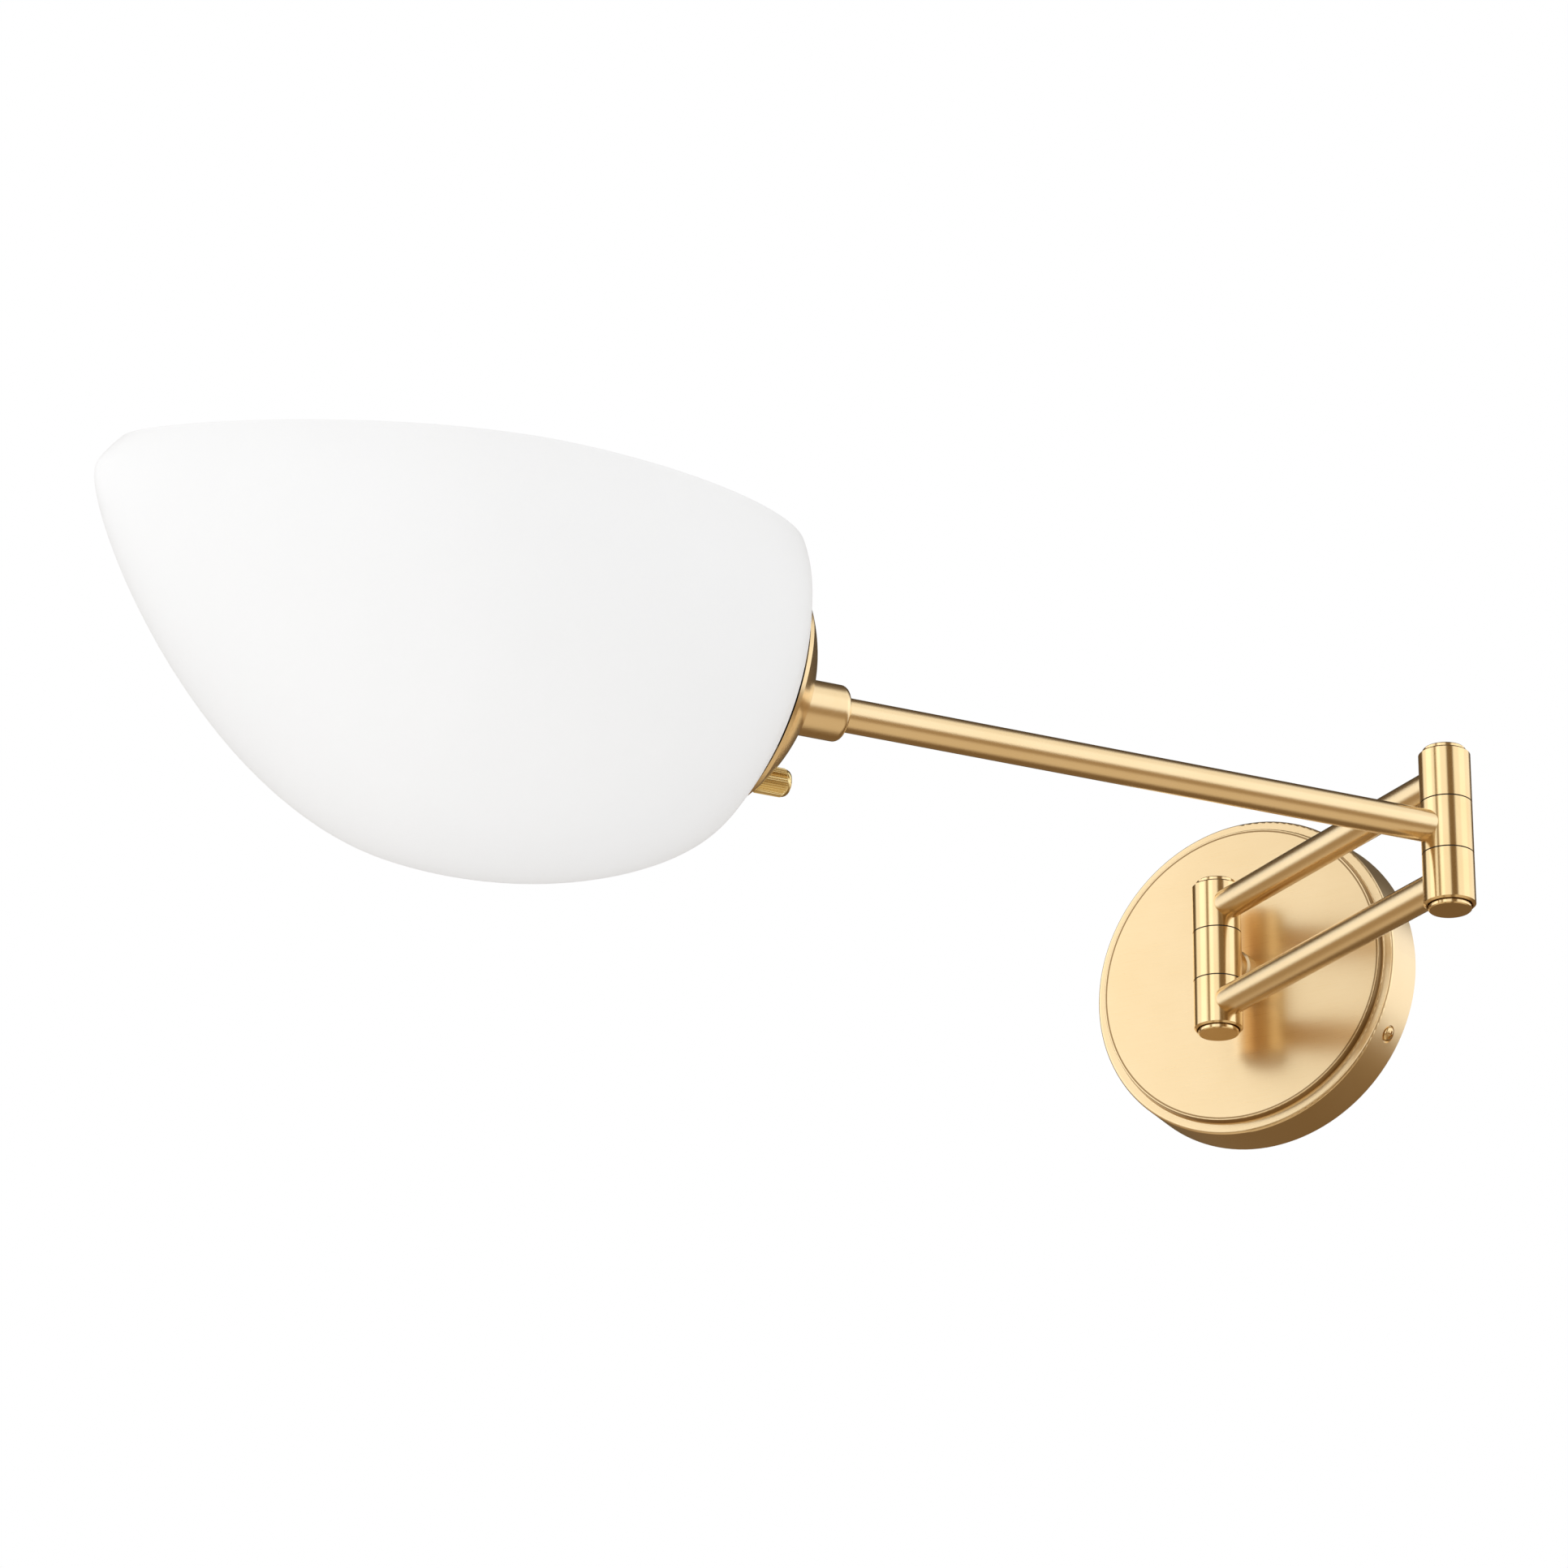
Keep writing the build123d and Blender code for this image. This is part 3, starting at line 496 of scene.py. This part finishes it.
# %% The group that repeats a shape about an axis
def build_ring_of():
    """Geometry Nodes: copies of the incoming shape, spread evenly about an axis through the origin."""
    group, source, result = new_group(
        "ring_of", "GeometryNodeTree",
        inputs={"Geometry": "Geometry", "Count": "Int", "Axis": "Vector", "Material": "Material"},
        outputs={"Geometry": "Geometry"},
    )
    points = group.nodes.new("GeometryNodePoints")
    number = group.nodes.new("GeometryNodeInputIndex")
    turned = group.nodes.new("FunctionNodeAxisAngleToRotation")
    copies = group.nodes.new("GeometryNodeInstanceOnPoints")
    real = group.nodes.new("GeometryNodeRealizeInstances")
    finish = group.nodes.new("GeometryNodeSetMaterial")
    share = calculate(group, "DIVIDE", number.outputs["Index"], source["Count"])
    link = group.links.new
    link(source["Count"], points.inputs["Count"])
    link(source["Axis"], turned.inputs["Axis"])
    link(calculate(group, "MULTIPLY", share, 2 * pi), turned.inputs["Angle"])
    link(points.outputs["Points"], copies.inputs["Points"])
    link(source["Geometry"], copies.inputs["Instance"])
    link(turned.outputs["Rotation"], copies.inputs["Rotation"])
    link(copies.outputs["Instances"], real.inputs["Geometry"])
    link(real.outputs["Geometry"], finish.inputs["Geometry"])
    link(source["Material"], finish.inputs["Material"])
    link(finish.outputs["Geometry"], result["Geometry"])
    return group


ring_of = build_ring_of()
ring_items = ring_of.interface.items_tree
socket_of = {item.name: item.identifier for item in ring_items if item.in_out == "INPUT"}


def repeat_about(name, mesh, count, axis, material):
    """Run a mesh through the group and return the finished plain mesh."""
    seed = bpy.data.objects.new(name + "_seed", mesh)
    bpy.context.scene.collection.objects.link(seed)
    modifier = seed.modifiers.new("ring_of", "NODES")
    modifier.node_group = ring_of
    modifier[socket_of["Count"]] = count
    modifier[socket_of["Axis"]] = axis
    modifier[socket_of["Material"]] = material
    bpy.context.view_layer.update()
    evaluated = seed.evaluated_get(bpy.context.evaluated_depsgraph_get())
    result = bpy.data.meshes.new_from_object(evaluated)
    result.name = name
    bpy.data.objects.remove(seed)
    return result


print("repeat group inputs:", list(socket_of))

# %% [markdown]
# ## Turned shapes
#
# A turned piece is a list of rings, each a radius and a height. A ring may also give one pair for each
# step round, which is how a cross recess or a thread is cut into an otherwise round piece.


# %% Helpers for turned shapes
def lathe(rings, steps):
    """Points and faces of a turned shape about Z; a ring of radius 0 closes an end in one point."""
    points, faces, rows = [], [], []
    for ring in rings:
        pairs = ring if isinstance(ring, list) else [ring] * steps
        start = len(points)
        if max(radius for radius, _ in pairs) == 0:
            points.append((0, 0, pairs[0][1]))
            rows.append([start] * steps)
            continue
        for step, (radius, height) in enumerate(pairs):
            angle = 2 * pi * step / steps
            points.append((radius * cos(angle), radius * sin(angle), height))
        rows.append(list(range(start, start + steps)))
    for upper, lower in zip(rows, rows[1:]):
        for step in range(steps):
            after = (step + 1) % steps
            corners = [upper[step], upper[after], lower[after], lower[step]]
            faces.append(list(dict.fromkeys(corners)))
    return points, faces


def solid_mesh(name, points, faces, place=None):
    """A mesh whose faces look outward, moved to its place in the frame."""
    mesh = bpy.data.meshes.new(name)
    mesh.from_pydata(points, [], faces)
    work = bmesh.new()
    work.from_mesh(mesh)
    bmesh.ops.recalc_face_normals(work, faces=work.faces)
    work.to_mesh(mesh)
    work.free()
    if place is not None:
        mesh.transform(place)
    return mesh


def stand_on(point, direction):
    """Matrix that puts local Z along a direction at a point."""
    turn = Vector(direction).to_track_quat("Z", "Y").to_matrix().to_4x4()
    return Matrix.Translation(point) @ turn


def put_piece(name, mesh, material, body, node, sharp):
    """Link a mesh as a piece that stands for a CAD node and rides on its body; sharp is in degrees."""
    mesh.materials.clear()
    mesh.materials.append(material)
    mesh.shade_smooth()
    mesh.set_sharp_from_angle(angle=radians(sharp))
    piece = bpy.data.objects.new(name, mesh)
    bpy.context.scene.collection.objects.link(piece)
    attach(piece, body)
    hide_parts(node)
    print(name, "has", len(mesh.polygons), "faces")


print("turned shapes ready")

# %% [markdown]
# ## Knurled knob
#
# The knob is a turned core with straight ridges. The core has the solid's outline: a domed free end, a
# recess that goes over the nut, and the shaft in the switch. The ridges stop short of the dome, as a
# knurling wheel leaves them, and their crests reach the solid's radius. A wavy outline would make the
# knob in one piece, but bars on a round core keep the crests sharp and the dome smooth.

# %% Knob
KNOB_RADIUS = 0.0047
KNOB_VALLEY = 0.00442
KNOB_LENGTH = 0.0116
# Radius and depth of the recess, radius and length of the shaft
KNOB_RECESS = (0.00405, 0.0042)
KNOB_SHAFT = (0.0015, 0.012)
KNOB_STEPS = 80
# Radius, and drop from the free end, of each ring of the dome
KNOB_DOME = (
    (0, 0), (0.0018, 0), (0.0029, 0.0001), (0.0036, 0.0004), (0.0041, 0.0009), (0.0044, 0.0015),
    (0.00448, 0.0019), (KNOB_VALLEY, 0.0021),
)
# Radius and height of each ring of the rounded foot
KNOB_FOOT = ((KNOB_VALLEY, 0.0006), (0.0043, 0.0002), (0.0042, 0))

knob_node = nodes["switch_knob"]
knob_ends = [(knob_node.matrix_world @ vertex.co).dot(arm_lay) for vertex in knob_node.data.vertices]
knob_base = knob_point + arm_lay * (min(knob_ends) + KNOB_LENGTH - knob_point.dot(arm_lay))
knob_place = stand_on(knob_base, -arm_lay)
shaft_end = KNOB_RECESS[1] - KNOB_SHAFT[1]
core = [(radius, KNOB_LENGTH - drop) for radius, drop in KNOB_DOME]
core += [*KNOB_FOOT, (KNOB_RECESS[0], 0), KNOB_RECESS]
core += [(KNOB_SHAFT[0], KNOB_RECESS[1]), (KNOB_SHAFT[0], shaft_end), (0, shaft_end)]
core_points, core_faces = lathe(core, KNOB_STEPS)
print("knob core:", len(core_points), "points")

# %% [markdown]
# One ridge is a bar with a wide root, a narrow crest and a ramp at each end. Its root is sunk into the
# core, so that no gap shows, and the repeat group sets out the forty of them round the knob.

# %% Ridges of the knob
RIDGE_COUNT = 40
# Half the width of a ridge at its crest and at its root
RIDGE_CREST = 0.00009
RIDGE_ROOT = 0.00028
RIDGE_SINK = 0.0002
RIDGE_START = 0.0003
RIDGE_STOP = KNOB_LENGTH - 0.0020
RAMP_DROP = 0.0003
START_RAMP = 0.0003
STOP_RAMP = 0.0004

ridge_points = []
ridge_stations = (
    (RIDGE_START, RAMP_DROP), (RIDGE_START + START_RAMP, 0),
    (RIDGE_STOP - STOP_RAMP, 0), (RIDGE_STOP, RAMP_DROP),
)
for height, inward in ridge_stations:
    for radius, half in ((KNOB_VALLEY - RIDGE_SINK, RIDGE_ROOT), (KNOB_RADIUS - inward, RIDGE_CREST)):
        ridge_points += [(radius, -half, height), (radius, half, height)]
# Four points at each station: the first and the last are closed, and sides join each to the next
ridge_faces = [(0, 1, 3, 2), (12, 13, 15, 14)]
for start in (0, 4, 8):
    for first, second in ((0, 1), (1, 3), (3, 2), (2, 0)):
        ridge_faces.append((start + first, start + second, start + 4 + second, start + 4 + first))
ridge = solid_mesh("knob_ridge", ridge_points, ridge_faces)
ridges = repeat_about("knob_ridges", ridge, RIDGE_COUNT, (0, 0, 1), knob_brass)
joined = bmesh.new()
joined.from_mesh(ridges)
joined.from_mesh(solid_mesh("knob_core", core_points, core_faces))
knob_mesh = bpy.data.meshes.new("knurled_knob")
joined.to_mesh(knob_mesh)
joined.free()
knob_mesh.transform(knob_place)
put_piece(
    "knurled_knob", knob_mesh, knob_brass,
    body="knob", node="switch_knob", sharp=28,
)

# %% [markdown]
# ## Side screws
#
# Each side screw has a pan head with a cross recess and a threaded shank. A cutter could take the
# recess out of a plain head, but lowering the points of the head that lie inside the cross leaves a
# cleaner mesh. The thread is a wave that climbs one pitch in each turn. The group above sets the second
# screw opposite the first, half a turn about the canopy's axis.

# %% Screws
SCREW_ANGLE = radians(-29.0)
SCREW_SEAT = 0.059119
SCREW_DEPTH = 0.008
HEAD_RADIUS = 0.0027
HEAD_HEIGHT = 0.0015
SHANK_RADIUS = 0.0016
SHANK_LENGTH = 0.007
CROSS_HALF_WIDTH = 0.00040
CROSS_REACH = 0.00150
CROSS_DEPTH = 0.0009
THREAD_PITCH = 0.0007
THREAD_HEIGHT = 0.0002
# A radius of the crown, and how far the crown has dropped there
HEAD_CROWN = (0.0022, 0.00030)
CROSS_SLOPE = 0.45
CROWN_RING_WIDTH = 0.00008
CROWN_RINGS = 27
# Radius and height of each ring of the head's rounded edge
HEAD_EDGE = (
    (0.00235, 0.00113), (0.00250, 0.00095), (0.00262, 0.0007), (HEAD_RADIUS, 0.0003), (0.00266, 0),
)
THREAD_RINGS = 70
SHANK_TIP = 0.0012
SCREW_STEPS = 96
SCREW_COUNT = 2


def recessed(radius):
    """One ring of the head's crown, lowered where it lies inside the cross."""
    crown = HEAD_HEIGHT - HEAD_CROWN[1] * (radius / HEAD_CROWN[0]) ** 2
    ring = []
    for step in range(SCREW_STEPS):
        angle = 2 * pi * step / SCREW_STEPS
        x, y = abs(radius * cos(angle)), abs(radius * sin(angle))
        inside = min(x, y) < CROSS_HALF_WIDTH and max(x, y) < CROSS_REACH
        slope = 1 - CROSS_SLOPE * max(x, y) / CROSS_REACH
        ring.append((radius, crown - (CROSS_DEPTH * slope if inside else 0)))
    return ring


def threaded(height):
    """One ring of the shank, its radius following the thread."""
    ring = []
    for step in range(SCREW_STEPS):
        wave = (height / THREAD_PITCH + step / SCREW_STEPS) % 1
        ring.append((SHANK_RADIUS - THREAD_HEIGHT * abs(2 * wave - 1), height))
    return ring


crown_radii = [CROWN_RING_WIDTH * ring for ring in range(1, CROWN_RINGS + 1)]
screw_rings = [(0, HEAD_HEIGHT - CROSS_DEPTH)] + [recessed(radius) for radius in crown_radii]
screw_rings += HEAD_EDGE
screw_rings += [threaded(-SHANK_LENGTH * ring / THREAD_RINGS) for ring in range(THREAD_RINGS - 1)]
screw_rings += [(SHANK_TIP, -SHANK_LENGTH), (0, -SHANK_LENGTH)]
out = Vector((cos(SCREW_ANGLE), 0, sin(SCREW_ANGLE)))
screw_place = stand_on(Vector((0, -SCREW_DEPTH, 0)) + out * SCREW_SEAT, out)
screw = solid_mesh("side_screw", *lathe(screw_rings, SCREW_STEPS), screw_place)
screws = repeat_about("side_screws", screw, SCREW_COUNT, (0, 1, 0), polished_brass)
put_piece(
    "side_screws", screws, polished_brass,
    body="wall_plate", node="canopy_screws", sharp=35,
)

# %% [markdown]
# ## Floor
#
# The floor is a plain pale sheet. It lies well below the light, because the camera stands low and looks
# up, and it reaches far, so that no edge of it shows from other sides. Reflections pass it, to reach
# the lower half of the studio that the next cells make.

# %% Floor
FLOOR_LEVEL = -0.9
FLOOR_REACH = 20.0

floor_mesh = bpy.data.meshes.new("floor")
floor_sides = ((-1, -1), (1, -1), (1, 1), (-1, 1))
floor_corners = [(x * FLOOR_REACH, y * FLOOR_REACH, FLOOR_LEVEL) for x, y in floor_sides]
floor_mesh.from_pydata(floor_corners, [], [(0, 1, 2, 3)])
floor = bpy.data.objects.new("floor", floor_mesh)
bpy.context.scene.collection.objects.link(floor)
pale_floor = speckled(
    "pale_floor", (0.91, 0.91, 0.91), (0.93, 0.93, 0.93),
    size=0.01, rough=(0.6, 0.75), bump=0.02,
)
floor_mesh.materials.append(pale_floor)
floor.visible_glossy = False
print("floor at", FLOOR_LEVEL)

# %% [markdown]
# ## The studio in the metal
#
# The photograph's brass shows cream and brown bands, which are the studio seen in the metal: tall white
# boxes with dark flags between, behind and above them. A picture of a studio would do it, but a few
# soft flags, mixed one over the other in the world's nodes, need no file. Each flag has a direction and
# two angles from it: where the flag begins, and where it is full.


# %% Flags
world = bpy.data.worlds.new("white_studio")
bpy.context.scene.world = world
world.use_nodes = True
sky = world.node_tree
sky.nodes.clear()
heading = sky.nodes.new("ShaderNodeTexCoord").outputs["Generated"]
bearing = move_vector(sky, "NORMALIZE", move_vector(sky, "MULTIPLY", heading, (1, 1, 0)))


def flag(under, source, direction, start, end, colour):
    """Hang a soft flag over what is under it: gone at the start angle, full at the end angle."""
    edge = add_node(sky, "ShaderNodeMapRange", From_Min=cos(radians(start)), From_Max=cos(radians(end)))
    edge.interpolation_type = "SMOOTHSTEP"
    sky.links.new(measure_vector(sky, "DOT_PRODUCT", source, direction), edge.inputs["Value"])
    return mix_colours(sky, edge.outputs["Result"], under, colour)


def upright_flag(under, azimuth, start, end, colour):
    """A flag that stands from floor to ceiling, at degrees from +X towards +Y."""
    direction = (cos(radians(azimuth)), sin(radians(azimuth)), 0)
    return flag(under, bearing, direction, start, end, colour)


print("flags hang in", world.name)

# %% [markdown]
# The boxes fade towards the ceiling, which is dark, and so is the room behind the wall, high and low.
# Below the level of the light comes a half-dark band, and then a lighter ground. Two narrow gaps part
# the boxes: they are the dark upright lines on the barrels.

# %% The studio
WHITE = (1, 1, 1)
UP = (0, 0, 1)
DOWN = (0, 0, -1)
BEHIND_LOW = Vector((-0.12, 0.90, -0.42)).normalized()
BEHIND_HIGH = Vector((-0.20, 0.60, 0.77)).normalized()
BEHIND_AZIMUTH = 127
RIGHT_GAP_AZIMUTH = -42
FRONT_GAP_AZIMUTH = -107

room = flag(WHITE, heading, UP, start=60, end=40, colour=(0.86, 0.84, 0.80))
room = upright_flag(room, BEHIND_AZIMUTH, start=60, end=47, colour=(0.11, 0.075, 0.04))
room = flag(room, heading, BEHIND_HIGH, start=42, end=20, colour=(0.07, 0.05, 0.03))
room = flag(room, heading, UP, start=30, end=17, colour=(0.16, 0.12, 0.08))
room = flag(room, heading, DOWN, start=88, end=70, colour=(0.34, 0.245, 0.145))
room = flag(room, heading, DOWN, start=58, end=41, colour=(0.59, 0.485, 0.35))
room = flag(room, heading, BEHIND_LOW, start=48, end=25, colour=(0.17, 0.11, 0.055))
room = upright_flag(room, RIGHT_GAP_AZIMUTH, start=19, end=10, colour=(0.20, 0.135, 0.07))
room = upright_flag(room, FRONT_GAP_AZIMUTH, start=8, end=3, colour=(0.30, 0.23, 0.14))
print("nodes in the studio:", len(sky.nodes))

# %% [markdown]
# ## World
#
# The photograph has a pure white ground and no shadow. More light on a backdrop could make that ground,
# but it would also bleach the shade. So the world is white to the camera and through glass, an even
# light to matte surfaces, and the studio to reflections. The kind of ray decides which one is seen.

# %% World
LIGHT_LEVEL = 0.99
BOX_LEVEL = 1.27

seen_by = sky.nodes.new("ShaderNodeLightPath").outputs
tint = mix_colours(sky, seen_by["Is Glossy Ray"], WHITE, room)
direct = calculate(sky, "MAXIMUM", seen_by["Is Camera Ray"], seen_by["Is Transmission Ray"])
even = spread(sky, direct, LIGHT_LEVEL, 1.0)
strength = calculate(sky, "MULTIPLY_ADD", seen_by["Is Glossy Ray"], BOX_LEVEL - LIGHT_LEVEL, even)
backdrop = sky.nodes.new("ShaderNodeBackground")
sky.links.new(tint, backdrop.inputs["Color"])
sky.links.new(strength, backdrop.inputs["Strength"])
world_out = sky.nodes.new("ShaderNodeOutputWorld")
sky.links.new(backdrop.outputs["Background"], world_out.inputs["Surface"])
print("light level", LIGHT_LEVEL, "box level", BOX_LEVEL)

# %% [markdown]
# ## Lamps
#
# Three large soft lamps shape the white shade. Small ones would shade it harder and show as spots in
# the brass. A fourth lies face up in front of it, so that it lifts the shade's underside and leaves the
# floor even, and it stays out of reflections, where it would brighten the dark bands.


# %% Lamps
def soft_lamp(name, place, aim, size, power):
    """A rectangular area lamp at a place, turned to look at a point."""
    data = bpy.data.lights.new(name, "AREA")
    data.shape = "RECTANGLE"
    data.size, data.size_y = size
    data.energy = power
    lamp = bpy.data.objects.new(name, data)
    lamp.rotation_euler = (Vector(aim) - Vector(place)).to_track_quat("-Z", "Y").to_euler()
    lamp.location = place
    lamp.visible_camera = False
    bpy.context.scene.collection.objects.link(lamp)
    return lamp


soft_lamp("left_lamp", place=(-0.92, -0.95, 0.55), aim=(0, -0.05, 0), size=(0.7, 0.9), power=0.75)
soft_lamp("front_lamp", place=(0.0, -1.6, 0.6), aim=(0.0, -0.25, 0), size=(0.5, 0.9), power=0.5)
soft_lamp("right_lamp", place=(1.5, 0.3, 0.5), aim=(0, -0.2, 0), size=(0.8, 0.9), power=0.5)
fill_lamp = soft_lamp(
    "fill_lamp", place=(-0.25, -1.2, -0.75), aim=(-0.25, -1.2, 0), size=(0.9, 0.7), power=2.0)
fill_lamp.visible_glossy = False

# %% [markdown]
# ## The last line
#
# The dressed light has to stay in the box of its solids. The last line brings the view layer up to date.

# %% Update the view layer
bpy.context.view_layer.update()
